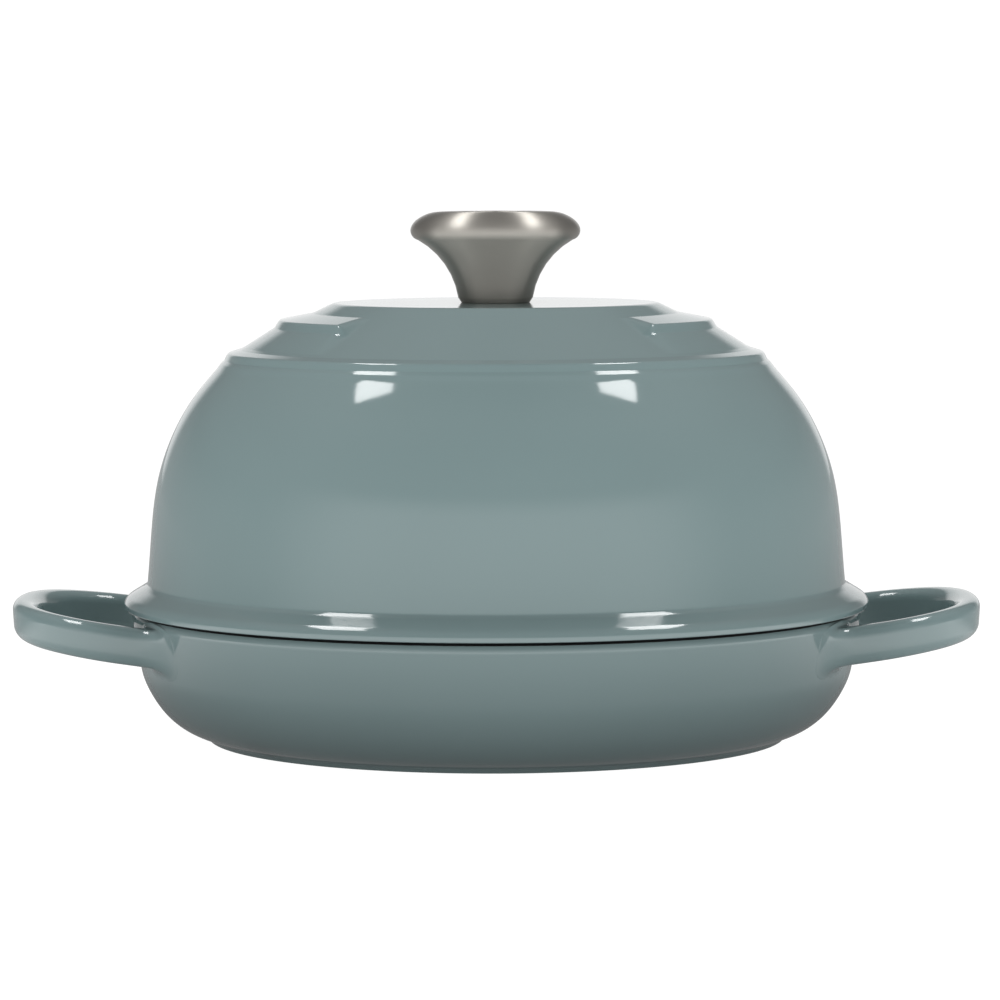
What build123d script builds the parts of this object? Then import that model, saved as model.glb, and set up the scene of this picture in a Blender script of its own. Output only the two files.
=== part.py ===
from build123d import *
import os
from math import cos, radians, sin, sqrt, tan

# Bread cloche in enamelled cast iron: a shallow pan with two loop handles, a domed lid that lifts
# straight off it, and a hollow stainless knob held on by one screw from inside the lid.
# Millimetres, +Z up. The origin is the centre of the foot ring's underside, and the handles
# point along X. The front of the lid, with its bare panel, faces -Y.

# Pan body
rim_radius = 124.5
rim_height = 45.0
rim_width = 5.2
rim_edge_round = 1.8
wall_draft_run = 3.65
wall_draft_height = 20.5
bilge_reach = 21.55
bilge_points_shares = ((0.288, 0.105), (0.606, 0.323), (0.845, 0.629))
bilge_foot_slope = 21.0
foot_height = 1.6
foot_inset = 1.3
foot_width = 8.0
base_thickness = 5.0
base_recess = 1.2
floor_corner_radius = 24.0

# Low ribs cast in the pan floor
rib_height = 0.9
rib_width = 3.2
rib_pitch = 20.0
first_rib_radius = 24.0
rib_count = 4

# Loop handles
handle_leg_length = 13.6
handle_bow_depth = 39.6
handle_half_span = 53.6
handle_tip_drop = 2.8
handle_tilt = 8.0
handle_bow_shares = (0.738, 0.740)
handle_bar_width = 8.9
handle_bar_height = 12.8
handle_bar_round = 3.8
handle_sink = 3.5
handle_root_depth = 3.5
handle_root_blend = 17.0
finger_gap_corner = 7.0

# Lid plateau, stepped ring, shoulder and dome, each sized outwards or downwards from the one before
lid_height = 102.8
plateau_radius = 55.0
plateau_edge_round = 4.5
cone_width = 31.8
cone_drop = 15.6
ring_start_width = 7.0
ring_ledge_width = 11.3
ring_ledge_drop = 2.2
ring_step_width = 1.7
ring_step_drop = 2.7
ring_end_width = 1.5
ring_edge_round = 1.4
ring_foot_round = 1.6
shoulder_foot_round = 2.0
shoulder_ledge_width = 4.1
shoulder_ledge_drop = 1.2
shoulder_edge_round = 1.5
shoulder_step_width = 1.4
shoulder_step_drop = 2.8
shoulder_step_round = 1.5
dome_start_width = 2.2
dome_start_drop = 2.5
dome_foot_inset = 6.25
dome_foot_rise = 12.0
dome_draft = 5.0
dome_points_shares = ((0.394, 0.170), (0.667, 0.345), (0.857, 0.549), (0.953, 0.796))
hollow_shares = (0, 0.25, 0.5, 0.75, 1)

# The stepped ring stops short on each side of the bare front panel, where it sinks into the cone
panel_half_angle = 41.0
ring_fade_angle = 4.0
ring_sink_shares = (0, 0.18, 0.60, 1.05)
ring_bite = 1.2

# Lid flange, the lip that centres it in the pan, and the lid's inside
flange_overhang = 2.0
flange_edge_height = 2.2
flange_slope_drop = 6.0
flange_foot_round = 1.5
flange_top_round = 1.5
flange_under_round = 0.5
lip_clearance = 0.7
lip_depth = 3.6
lip_edge_round = 0.7
lid_wall = 4.0
crown_extra_wall = 0.4
crown_corner_radius = 10.0

# Stainless knob
knob_base_radius = 11.6
knob_base_chamfer = 1.1
knob_base_chamfer_height = 1.7
knob_waist_radius = 16.7
knob_waist_height = 12.2
knob_joint_radius = 26.3
knob_joint_height = 21.2
knob_radius = 28.8
knob_equator_height = 24.4
knob_height = 30.75
knob_top_radius = 18.5
knob_brow_radius = 24.9
knob_brow_drop = 1.55
knob_wall = 1.8
knob_base_thickness = 3.0
knob_spigot_height = 1.5
knob_spigot_depth = 1.2
knob_spigot_wall = 1.4
knob_fit_clearance = 0.06
cap_hollow_corner_radius = 4.0

# Threaded insert in the knob, and the M6 screw with its washers inside the lid
thread_radius = 3.0
thread_clearance = 0.05
insert_radius = 5.5
insert_flange_radius = 7.5
insert_flange_thickness = 2.0
insert_height = 16.0
insert_blind_end = 2.5
screw_hole_clearance = 0.4
screw_engagement = 11.0
screw_tip_chamfer = 0.6
screw_head_radius = 6.0
screw_head_height = 4.0
screw_head_side_share = 0.45
screw_recess_length = 6.4
screw_recess_width = 1.3
screw_recess_depth = 2.4
screw_recess_taper = 4.0
washer_radius = 9.0
washer_thickness = 1.2
washer_edge_chamfer = 0.25
washer_hole_clearance = 0.2
lock_washer_radius = 5.9
lock_washer_thickness = 1.6
lock_washer_hole_clearance = 0.1
lock_washer_split = 0.9
lock_washer_split_angle = 20.0

# One overrun serves every cut that has to pass a face
cut_overrun = 5.0


def step_from(point, out, down):
    """The next outline point, a distance outwards and a distance down from the one before."""
    return (point[0] + out, point[1] - down)


def share_point(start, end, shares):
    """A point between two outline points, by its shares of the way across and of the way along Z."""
    across_share, along_share = shares
    return (
        start[0] + (end[0] - start[0]) * across_share,
        start[1] + (end[1] - start[1]) * along_share,
    )


# Loop handle, drawn flat in a tilted plane through the pan's axis. Its straight legs leave the
# wall, and its root runs back inside the wall from where the outer blend meets it.
sunk_radius = rim_radius - handle_sink
crotch_start = sqrt(sunk_radius**2 - handle_half_span**2)
blend_reach = sunk_radius + handle_root_blend
blend_rise = handle_half_span + handle_root_blend
root_start = sqrt(blend_reach**2 - blend_rise**2) * sunk_radius / blend_reach - handle_root_depth
bow_start = sqrt(sunk_radius**2 - (handle_half_span - handle_bar_width) ** 2) + handle_leg_length
handle_tip = bow_start + handle_bow_depth
tilt_rise = tan(radians(handle_tilt))
handle_reach = handle_tip * cos(radians(handle_tilt))
handle_plane = Plane(
    origin=(0, 0, rim_height - handle_tip_drop - handle_reach * tilt_rise),
    x_dir=(1, 0, tilt_rise),
    z_dir=(-tilt_rise, 0, 1),
)


def bow_points(inset):
    """The loop's outline at its tip, elbow and straight leg, set in from the outer edge."""
    tip = (handle_tip - inset, 0)
    leg = (bow_start, handle_half_span - inset)
    return tip, share_point((leg[0], tip[1]), (tip[0], leg[1]), handle_bow_shares), leg


with BuildSketch(Plane.XY) as finger_gap:
    with BuildLine():
        tip, elbow, leg = bow_points(handle_bar_width)
        Spline(tip, elbow, leg, tangents=((0, 1), (-1, 0)))
        Polyline(leg, (root_start, leg[1]), (root_start, 0))
        mirror(about=Plane.XZ)
    make_face()
    Circle(sunk_radius, mode=Mode.SUBTRACT)
    fillet(finger_gap.vertices().group_by(Axis.X)[0], radius=finger_gap_corner)

with BuildPart() as handle:
    with BuildSketch(handle_plane) as loop_plan:
        with BuildLine():
            tip, elbow, leg = bow_points(0)
            Spline(tip, elbow, leg, tangents=((0, 1), (-1, 0)))
            Polyline(leg, (root_start, leg[1]), (root_start, 0))
            mirror(about=Plane.XZ)
        make_face()
        Circle(sunk_radius)
        crotches = [
            loop_plan.vertices().sort_by_distance((crotch_start, side * handle_half_span))[0] for side in (-1, 1)
        ]
        fillet(crotches, radius=handle_root_blend)
        with Locations((root_start, 0)):
            Rectangle(handle_reach, sunk_radius * 2, align=(Align.MIN, Align.CENTER), mode=Mode.INTERSECT)
        add(finger_gap.sketch, mode=Mode.SUBTRACT)
    extrude(amount=handle_bar_height / 2, both=True)
    flats = handle.faces().filter_by(handle_plane)
    fillet(flats.edges().filter_by(lambda edge: edge.center().X > root_start + handle_sink), radius=handle_bar_round)

# Pan: outer body and foot, handles, then the hollow, its soft rim and the ribs in its floor
bilge_top = (rim_radius - wall_draft_run, rim_height - wall_draft_height)
bilge_foot = (bilge_top[0] - bilge_reach, foot_height)
foot_radius = bilge_foot[0] - foot_inset
floor_height = base_recess + base_thickness
wall_lean = wall_draft_run / wall_draft_height
hollow_radius = rim_radius - rim_width
hollow_corner = hollow_radius - wall_lean * (rim_height - floor_height)

with BuildPart() as base_pan:
    with BuildSketch(Plane.XZ):
        with BuildLine():
            bilge_points = [share_point(bilge_foot, bilge_top, shares) for shares in bilge_points_shares]
            Spline(
                bilge_foot,
                *bilge_points,
                bilge_top,
                tangents=((1, tan(radians(bilge_foot_slope))), (wall_lean, 1)),
            )
            Polyline(bilge_top, (rim_radius, rim_height), (0, rim_height), (0, base_recess))
            Polyline(
                (0, base_recess),
                (foot_radius - foot_width, base_recess),
                (foot_radius - foot_width, 0),
                (foot_radius, 0),
                bilge_foot,
            )
        make_face()
    revolve(axis=Axis.Z)
    add(handle.part)
    mirror(handle.part, about=Plane.YZ)
    with BuildSketch(Plane.XZ):
        with BuildLine():
            wall = FilletPolyline(
                (0, floor_height),
                (hollow_corner, floor_height),
                (hollow_radius + wall_lean * cut_overrun, rim_height + cut_overrun),
                radius=floor_corner_radius,
            )
            Polyline(wall @ 1, (0, rim_height + cut_overrun), wall @ 0)
        make_face()
    revolve(axis=Axis.Z, mode=Mode.SUBTRACT)
    fillet(base_pan.faces().filter_by(Axis.Z).sort_by(Axis.Z)[-1].edges(), radius=rim_edge_round)
    with BuildSketch(Plane.XZ):
        for index in range(rib_count):
            with Locations((first_rib_radius + index * rib_pitch, floor_height)):
                Ellipse(rib_width / 2, rib_height)
    revolve(axis=Axis.Z)
base_pan.part.label = "base_pan"

# Lid outline, from the plateau outwards and down
plateau_height = rim_height + lid_height
plateau_edge = (plateau_radius, plateau_height)
cone_foot = step_from(plateau_edge, cone_width, cone_drop)
shoulder_edge = step_from(cone_foot, shoulder_ledge_width, shoulder_ledge_drop)
shoulder_step = step_from(shoulder_edge, shoulder_step_width, shoulder_step_drop)
dome_start = step_from(shoulder_step, dome_start_width, dome_start_drop)
dome_foot = (rim_radius - dome_foot_inset, rim_height + dome_foot_rise)
dome_lean = tan(radians(dome_draft))
dome_points = [share_point(dome_start, dome_foot, shares) for shares in dome_points_shares]
flange_edge = (rim_radius + flange_overhang, rim_height + flange_edge_height)
flange_rise = dome_foot_rise - flange_edge_height - flange_slope_drop
flange_foot = step_from(dome_foot, dome_lean * flange_rise, flange_rise)
lip_radius = hollow_radius - lip_clearance
lip_height = rim_height - lip_depth
crown_height = plateau_height - crown_extra_wall
lid_underside = crown_height - lid_wall


dome_form = Spline(
    dome_start,
    *dome_points,
    dome_foot,
    tangents=((dome_start_width, -dome_start_drop), (dome_lean, -1)),
)


def inside_dome(share):
    """A point one wall inside the dome's outline, by its share of the way down it."""
    point, direction = dome_form @ share, dome_form % share
    return (point.X + direction.Y * lid_wall, point.Y - direction.X * lid_wall)


# Raised stepped ring: a ledge and a step that stand on the cone and run a bite past it at both ends
cone_slope = cone_drop / cone_width
ring_start = step_from(plateau_edge, ring_start_width, ring_start_width * cone_slope)
ring_ledge = step_from(ring_start, ring_ledge_width, ring_ledge_drop)
ring_step = step_from(ring_ledge, ring_step_width, ring_step_drop)
ring_end = step_from(cone_foot, -ring_end_width, -ring_end_width * cone_slope)
ring_ledge_slope = ring_ledge_drop / ring_ledge_width
ring_end_slope = (ring_step[1] - ring_end[1]) / (ring_end[0] - ring_step[0])
front_angle = -90.0


def azimuth_plane(angle):
    """The upright half plane through the Z axis at an angle from +X."""
    across = (cos(radians(angle)), sin(radians(angle)), 0)
    return Plane(origin=(0, 0, 0), x_dir=across, z_dir=(across[1], -across[0], 0))


def sunk(point, sink_share):
    """A point of the ring, lowered by a share of its own height over the cone."""
    cone_height = plateau_height - (point[0] - plateau_radius) * cone_slope
    return step_from(point, 0, (point[1] - cone_height) * sink_share)


def ring_outline(sink_share):
    """The ring's closed section, for the line being built, sunk by that share of its height."""
    corners = (
        step_from(ring_start, -ring_bite, ring_bite),
        step_from(ring_start, -ring_bite, -ring_bite * ring_ledge_slope),
        sunk(ring_ledge, sink_share),
        sunk(ring_step, sink_share),
        step_from(ring_end, ring_bite, ring_bite * ring_end_slope),
        step_from(ring_end, ring_bite, ring_bite * ring_end_slope + ring_bite),
    )
    return FilletPolyline(*corners, radius=(0, 0, ring_edge_round, ring_foot_round, 0, 0), close=True)


with BuildPart() as dome_lid:
    with BuildSketch(Plane.XZ):
        with BuildLine():
            tiers = FilletPolyline(
                (0, plateau_height),
                plateau_edge,
                cone_foot,
                shoulder_edge,
                shoulder_step,
                dome_start,
                radius=(plateau_edge_round, shoulder_foot_round, shoulder_edge_round, shoulder_step_round),
            )
            add(dome_form)
            flange = FilletPolyline(
                dome_foot,
                flange_foot,
                flange_edge,
                (flange_edge[0], rim_height),
                (lip_radius, rim_height),
                radius=(flange_foot_round, flange_top_round, flange_under_round),
            )
            Polyline(flange @ 1, (lip_radius, lip_height), (0, lip_height), tiers @ 0)
        make_face()
    revolve(axis=Axis.Z)
    with BuildSketch(Plane.XZ):
        with BuildLine():
            inner_points = [inside_dome(share) for share in hollow_shares]
            crown = FilletPolyline(
                (0, lid_underside), (plateau_radius, lid_underside), inner_points[0], radius=crown_corner_radius
            )
            wall = Spline(*inner_points, tangents=(dome_form % 0, dome_form % 1))
            mouth = step_from(inner_points[-1], dome_lean * dome_foot[1], dome_foot[1])
            Polyline(wall @ 1, mouth, (0, mouth[1]), crown @ 0)
        make_face()
    revolve(axis=Axis.Z, mode=Mode.SUBTRACT)
    fillet(dome_lid.edges().group_by(Axis.Z)[0], radius=lip_edge_round)
    with BuildSketch(Plane.XY.offset(lid_underside - cut_overrun)):
        Circle(thread_radius + screw_hole_clearance)
    extrude(amount=lid_wall + crown_extra_wall + cut_overrun * 2, mode=Mode.SUBTRACT)
    ring_half_gap = panel_half_angle + ring_fade_angle
    with BuildSketch(azimuth_plane(front_angle + ring_half_gap)):
        with BuildLine():
            ring_outline(0)
        make_face()
    revolve(axis=Axis.Z, revolution_arc=360 - 2 * ring_half_gap)
    for side in (-1, 1):
        for index, sink_share in enumerate(ring_sink_shares):
            faded = index / (len(ring_sink_shares) - 1)
            with BuildSketch(azimuth_plane(front_angle + side * (ring_half_gap - faded * ring_fade_angle))):
                with BuildLine():
                    ring_outline(sink_share)
                make_face()
        loft()
dome_lid.part.label = "dome_lid"

# Knob body: a hollow stem that flares up to the joint, where its spigot centres the cap
knob_joint = plateau_height + knob_joint_height
knob_floor = plateau_height + knob_base_thickness
waist_start = (knob_base_radius + knob_base_chamfer, plateau_height + knob_base_chamfer_height)
waist = (knob_waist_radius, plateau_height + knob_waist_height)
waist_end = (knob_joint_radius, knob_joint)
spigot_radius = knob_joint_radius - knob_wall

with BuildPart() as knob_body:
    with BuildSketch(Plane.XZ):
        with BuildLine():
            Polyline((0, knob_joint), (0, plateau_height), (knob_base_radius, plateau_height), waist_start)
            ThreePointArc(waist_start, waist, waist_end)
            Line(waist_end, (0, knob_joint))
        make_face()
    revolve(axis=Axis.Z)
    with BuildSketch(Plane.XZ):
        with BuildLine():
            inner_points = [step_from(point, -knob_wall, 0) for point in (waist_start, waist, waist_end)]
            ThreePointArc(*inner_points)
            Polyline(inner_points[2], (0, knob_joint), (0, waist_start[1]), inner_points[0])
        make_face()
        with Locations((0, knob_floor)):
            Rectangle(knob_joint_radius, knob_joint_height, align=(Align.MIN, Align.MIN), mode=Mode.INTERSECT)
    revolve(axis=Axis.Z, mode=Mode.SUBTRACT)
    with BuildSketch(Plane.XZ):
        with Locations((spigot_radius, knob_joint + knob_spigot_height)):
            Rectangle(knob_spigot_wall, knob_spigot_height + knob_spigot_depth, align=(Align.MAX, Align.MAX))
    revolve(axis=Axis.Z)
    with BuildSketch(Plane.XY.offset(plateau_height - cut_overrun)):
        Circle(insert_radius + knob_fit_clearance)
    extrude(amount=knob_base_thickness + cut_overrun * 2, mode=Mode.SUBTRACT)
knob_body.part.label = "knob_body"

# Knob cap: a low domed button, seated on the body's joint face
knob_top = plateau_height + knob_height
cap_hollow_radius = spigot_radius + knob_fit_clearance
knob_equator = (knob_radius, plateau_height + knob_equator_height)

with BuildPart() as knob_cap:
    with BuildSketch(Plane.XZ):
        with BuildLine():
            top_edge = (knob_top_radius, knob_top)
            brow = (knob_brow_radius, knob_top - knob_brow_drop)
            Polyline((0, knob_joint), (0, knob_top), top_edge)
            Spline(top_edge, brow, knob_equator, tangents=((1, 0), (0, -1)))
            TangentArc(knob_equator, waist_end, tangent=(0, -1))
            Line(waist_end, (0, knob_joint))
        make_face()
    revolve(axis=Axis.Z)
    with BuildSketch(Plane.XZ):
        with BuildLine():
            ceiling = knob_top - knob_wall
            hollow = FilletPolyline(
                (0, ceiling),
                (cap_hollow_radius, ceiling),
                (cap_hollow_radius, knob_joint - cut_overrun),
                radius=cap_hollow_corner_radius,
            )
            Polyline(hollow @ 1, (0, knob_joint - cut_overrun), hollow @ 0)
        make_face()
    revolve(axis=Axis.Z, mode=Mode.SUBTRACT)
knob_cap.part.label = "knob_cap"

# Threaded insert: a blind boss that stands on the lid, its flange on the knob's floor
with BuildPart() as knob_insert:
    with BuildSketch(Plane.XY.offset(plateau_height)):
        Circle(insert_radius)
    extrude(amount=insert_height)
    with BuildSketch(Plane.XY.offset(knob_floor)):
        Circle(insert_flange_radius)
    extrude(amount=insert_flange_thickness)
    with BuildSketch(Plane.XY.offset(plateau_height)):
        Circle(thread_radius + thread_clearance)
    extrude(amount=insert_height - insert_blind_end, mode=Mode.SUBTRACT)
knob_insert.part.label = "knob_insert"

# Washers, stacked down from the inside of the lid's crown
washer_underside = lid_underside - washer_thickness
head_top = washer_underside - lock_washer_thickness
head_bottom = head_top - screw_head_height

with BuildPart() as flat_washer:
    with BuildSketch(Plane.XY.offset(washer_underside)):
        Circle(washer_radius)
    extrude(amount=washer_thickness)
    chamfer(flat_washer.edges().filter_by(GeomType.CIRCLE), length=washer_edge_chamfer)
    with BuildSketch(Plane.XY.offset(washer_underside)):
        Circle(thread_radius + washer_hole_clearance)
    extrude(amount=washer_thickness, mode=Mode.SUBTRACT)
flat_washer.part.label = "flat_washer"

with BuildPart() as lock_washer:
    with BuildSketch(Plane.XY.offset(head_top)):
        Circle(lock_washer_radius)
        Circle(thread_radius + lock_washer_hole_clearance, mode=Mode.SUBTRACT)
        with Locations(Rot(0, 0, lock_washer_split_angle)):
            Rectangle(
                lock_washer_radius + cut_overrun,
                lock_washer_split,
                align=(Align.MIN, Align.CENTER),
                mode=Mode.SUBTRACT,
            )
    extrude(amount=lock_washer_thickness)
lock_washer.part.label = "lock_washer"

# Pan-head screw with a cross recess, driven up from inside the lid
head_side = screw_head_height * screw_head_side_share
with BuildPart() as knob_screw:
    with BuildSketch(Plane.XZ):
        with BuildLine():
            side_end = (screw_head_radius, head_top - head_side)
            Polyline((0, head_bottom), (0, head_top), (screw_head_radius, head_top), side_end)
            Spline(side_end, (0, head_bottom), tangents=((0, -1), (-1, 0)))
        make_face()
    revolve(axis=Axis.Z)
    with BuildSketch(Plane.XY.offset(head_top)):
        Circle(thread_radius)
    extrude(amount=plateau_height + screw_engagement - head_top)
    chamfer(knob_screw.edges().group_by(Axis.Z)[-1], length=screw_tip_chamfer)
    with BuildSketch(Plane.XY.offset(head_bottom)):
        Rectangle(screw_recess_length, screw_recess_width)
        Rectangle(screw_recess_width, screw_recess_length)
    extrude(amount=screw_recess_depth, taper=screw_recess_taper, mode=Mode.SUBTRACT)
knob_screw.part.label = "knob_screw"

os.makedirs("parts", exist_ok=True)
export_step(base_pan.part, "parts/base_pan.step")
export_step(dome_lid.part, "parts/dome_lid.step")
export_step(knob_body.part, "parts/knob_body.step")
export_step(knob_cap.part, "parts/knob_cap.step")
export_step(knob_insert.part, "parts/knob_insert.step")
export_step(flat_washer.part, "parts/flat_washer.step")
export_step(lock_washer.part, "parts/lock_washer.step")
export_step(knob_screw.part, "parts/knob_screw.step")
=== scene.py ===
# Bread cloche: enamelled cast-iron pan and domed lid with a turned stainless knob
import math

import bmesh
import bpy
import numpy as np
from mathutils import Matrix, Vector, geometry


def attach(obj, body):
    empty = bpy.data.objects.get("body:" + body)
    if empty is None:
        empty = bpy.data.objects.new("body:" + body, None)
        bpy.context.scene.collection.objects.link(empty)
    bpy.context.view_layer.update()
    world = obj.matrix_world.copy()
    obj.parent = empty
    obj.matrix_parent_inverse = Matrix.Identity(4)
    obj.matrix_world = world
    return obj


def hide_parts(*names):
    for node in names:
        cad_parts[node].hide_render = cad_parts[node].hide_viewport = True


bl_info = {
    "name": "Bread cloche",
    "version": (1, 0, 0),
    "blender": (4, 5, 0),
    "location": "3D View > Sidebar > Cloche",
    "description": "Builds an enamelled bread cloche around its packed solids",
    "category": "Add Mesh",
}

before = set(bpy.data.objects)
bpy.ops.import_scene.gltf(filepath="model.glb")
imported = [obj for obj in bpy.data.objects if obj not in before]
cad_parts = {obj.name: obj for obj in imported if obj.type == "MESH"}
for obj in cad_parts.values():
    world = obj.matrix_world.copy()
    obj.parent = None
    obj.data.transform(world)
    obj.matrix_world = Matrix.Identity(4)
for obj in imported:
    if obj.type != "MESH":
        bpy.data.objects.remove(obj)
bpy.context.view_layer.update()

# Steps of every turned piece round its axis, and degrees of one step of a rounded corner
TURN_STEPS = 360
ARC_STEP_DEGREES = 9
# Corners that turn less than this, in radians, are straight
STRAIGHT_TURN = 1e-4
# Straight runs longer than this get support rings beside their rounded ends
LONG_RUN = 0.0015
SUPPORT_GAP = 0.0004
# Points closer than this are one point
MERGE_GAP = 1e-6
# Edges that turn by more than this stay crisp
CRISP_ANGLE = math.radians(35)

# Cone of the lid and the raised ring on it, in millimetres out and down from the flat top's edge
CONE_WIDTH, CONE_DROP = 31.8, 15.6
CONE_SLOPE = CONE_DROP / CONE_WIDTH
RING_START, RING_END = 7.0, 30.3
# Knob: height of the joint between body and cap, its radius there and its wall, in millimetres
KNOB_JOINT, KNOB_BRIM, KNOB_WALL = 21.2, 26.3, 1.8

# Brightness of the studio by the height of a direction: 0 is the horizon and below, 1 is straight up
SIDE_LEVELS = ((0, 0.3), (0.12, 0.22), (0.24, 0.13), (0.55, 0.2), (0.8, 0.36), (0.93, 0.22), (1, 0.06))
BACK_LEVELS = ((0, 0.74), (0.34, 0.72), (0.46, 0.2), (0.8, 0.42), (1, 0.1))
FRONT_LEVELS = ((0, 1), (0.26, 0.84), (0.4, 0.14), (0.8, 0.05), (1, 0.06))


class ClocheSizes(bpy.types.PropertyGroup):
    """Sizes of the pan with its handles, the lid and the knob"""

    rim_radius: bpy.props.FloatProperty(
        name="Rim radius", description="Outside radius of the pan's rim", default=0.1245, unit="LENGTH"
    )
    rim_height: bpy.props.FloatProperty(
        name="Rim height",
        description="Height of the pan's rim, where the lid rests",
        default=0.045,
        unit="LENGTH",
    )
    plateau_height: bpy.props.FloatProperty(
        name="Lid top",
        description="Height of the lid's flat top over the table",
        default=0.1478,
        unit="LENGTH",
    )
    plateau_radius: bpy.props.FloatProperty(
        name="Lid top radius", description="Radius of the lid's flat top", default=0.055, unit="LENGTH"
    )
    lid_wall: bpy.props.FloatProperty(
        name="Lid wall", description="Thickness of the lid's casting", default=0.004, unit="LENGTH"
    )
    panel_half_angle: bpy.props.FloatProperty(
        name="Panel half angle",
        description="Half angle of the smooth front panel, where the raised ring stops",
        default=math.radians(41),
        subtype="ANGLE",
    )
    ring_fade_angle: bpy.props.FloatProperty(
        name="Ring fade",
        description="Angle over which the raised ring sinks into the panel",
        default=math.radians(4),
        subtype="ANGLE",
    )
    handle_reach: bpy.props.FloatProperty(
        name="Handle reach",
        description="Handle tip from the pan's axis, along the handle",
        default=0.16565,
        unit="LENGTH",
    )
    handle_half_span: bpy.props.FloatProperty(
        name="Handle half span",
        description="Half the width over a handle's legs",
        default=0.0536,
        unit="LENGTH",
    )
    handle_tilt: bpy.props.FloatProperty(
        name="Handle tilt",
        description="Upward tilt of the loop handles",
        default=math.radians(8),
        subtype="ANGLE",
    )
    bar_width: bpy.props.FloatProperty(
        name="Bar width",
        description="Width of the handle's bar, seen from above",
        default=0.0089,
        unit="LENGTH",
    )
    bar_height: bpy.props.FloatProperty(
        name="Bar height", description="Height of the handle's bar", default=0.0128, unit="LENGTH"
    )
    bar_round: bpy.props.FloatProperty(
        name="Bar round", description="Round along the bar's edges", default=0.0038, unit="LENGTH"
    )
    knob_radius: bpy.props.FloatProperty(
        name="Knob radius", description="Largest radius of the knob's cap", default=0.0288, unit="LENGTH"
    )
    knob_height: bpy.props.FloatProperty(
        name="Knob height", description="Height of the knob over the lid", default=0.03075, unit="LENGTH"
    )


class ClocheFinish(bpy.types.PropertyGroup):
    """Colours and gloss"""

    enamel: bpy.props.StringProperty(
        name="Enamel", description="Blue-grey enamel of the outside, as sRGB hex", default="7b8f90"
    )
    black_enamel: bpy.props.StringProperty(
        name="Black enamel", description="Satin black enamel of the inside, as sRGB hex", default="1d1e1f"
    )
    knob_steel: bpy.props.StringProperty(
        name="Knob steel", description="Turned stainless steel of the knob, as sRGB hex", default="b9b5ae"
    )
    screw_steel: bpy.props.StringProperty(
        name="Screw steel",
        description="Plain stainless steel of the fasteners, as sRGB hex",
        default="c4c3c1",
    )
    enamel_roughness: bpy.props.FloatProperty(
        name="Enamel roughness", description="Roughness of the glossy enamel", default=0.07, subtype="FACTOR"
    )
    steel_roughness: bpy.props.FloatProperty(
        name="Knob roughness", description="Roughness of the turned steel", default=0.46, subtype="FACTOR"
    )


class ClocheStudio(bpy.types.PropertyGroup):
    """Camera and lights"""

    camera_distance: bpy.props.FloatProperty(
        name="Camera distance", description="Camera from the cloche's axis", default=1.575, unit="LENGTH"
    )
    camera_height: bpy.props.FloatProperty(
        name="Camera height", description="Camera over the table", default=0.2025, unit="LENGTH"
    )
    lens: bpy.props.FloatProperty(
        name="Lens", description="Focal length on a 36 mm wide sensor", default=167.04, unit="CAMERA"
    )
    softbox_power: bpy.props.FloatProperty(
        name="Softbox power", description="Power of each overhead softbox", default=8.6, unit="POWER"
    )


def linear_colour(hex_code):
    """An sRGB hex colour as linear red, green, blue and alpha."""
    shares = [int(hex_code[i : i + 2], 16) / 255 for i in (0, 2, 4)]
    return [s / 12.92 if s <= 0.04045 else ((s + 0.055) / 1.055) ** 2.4 for s in shares] + [1]


def add_node(tree, kind, settings=None, sockets=None):
    """A node with its settings, and its sockets set or linked."""
    node = tree.nodes.new(kind)
    for name, value in (settings or {}).items():
        setattr(node, name, value)
    for name, value in (sockets or {}).items():
        if isinstance(value, bpy.types.NodeSocket):
            tree.links.new(value, node.inputs[name])
        else:
            node.inputs[name].default_value = value
    return node


def start_material(name):
    """An empty node material and its tree."""
    material = bpy.data.materials.new(name)
    material.use_nodes = True
    material.node_tree.nodes.clear()
    return material, material.node_tree


def noise_scale(size):
    """The scale of a noise whose waves are about a size in millimetres across."""
    return 1000 / size


def glossy_enamel(finish):
    """Vitreous enamel, fired on cast iron: a deep even colour under glass, very slightly wavy."""
    material, tree = start_material("glossy_vitreous_enamel")
    place = add_node(tree, "ShaderNodeTexCoord").outputs["Object"]
    colour = linear_colour(finish.enamel)
    # The glaze pools a little: its tone drifts over about 60 mm
    drift = add_node(
        tree, "ShaderNodeTexNoise", None, {"Vector": place, "Scale": noise_scale(62.5), "Detail": 2.0}
    )
    darker = [c * 0.965 for c in colour[:3]] + [1]
    lighter = [c * 1.035 for c in colour[:3]] + [1]
    tone = add_node(
        tree,
        "ShaderNodeMix",
        {"data_type": "RGBA"},
        {"Factor": drift.outputs["Fac"], "A": darker, "B": lighter},
    )
    # Orange peel of a fired glaze, waves about 4 mm long and a few microns high
    peel = add_node(
        tree, "ShaderNodeTexNoise", None, {"Vector": place, "Scale": noise_scale(4), "Detail": 1.0}
    )
    bump = add_node(
        tree, "ShaderNodeBump", None, {"Height": peel.outputs["Fac"], "Strength": 0.25, "Distance": 0.00003}
    )
    shader = add_node(
        tree,
        "ShaderNodeBsdfPrincipled",
        None,
        {
            "Base Color": tone.outputs["Result"],
            "Roughness": finish.enamel_roughness,
            "IOR": 1.52,
            "Normal": bump.outputs["Normal"],
        },
    )
    add_node(tree, "ShaderNodeOutputMaterial", None, {"Surface": shader.outputs["BSDF"]})
    return material


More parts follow.
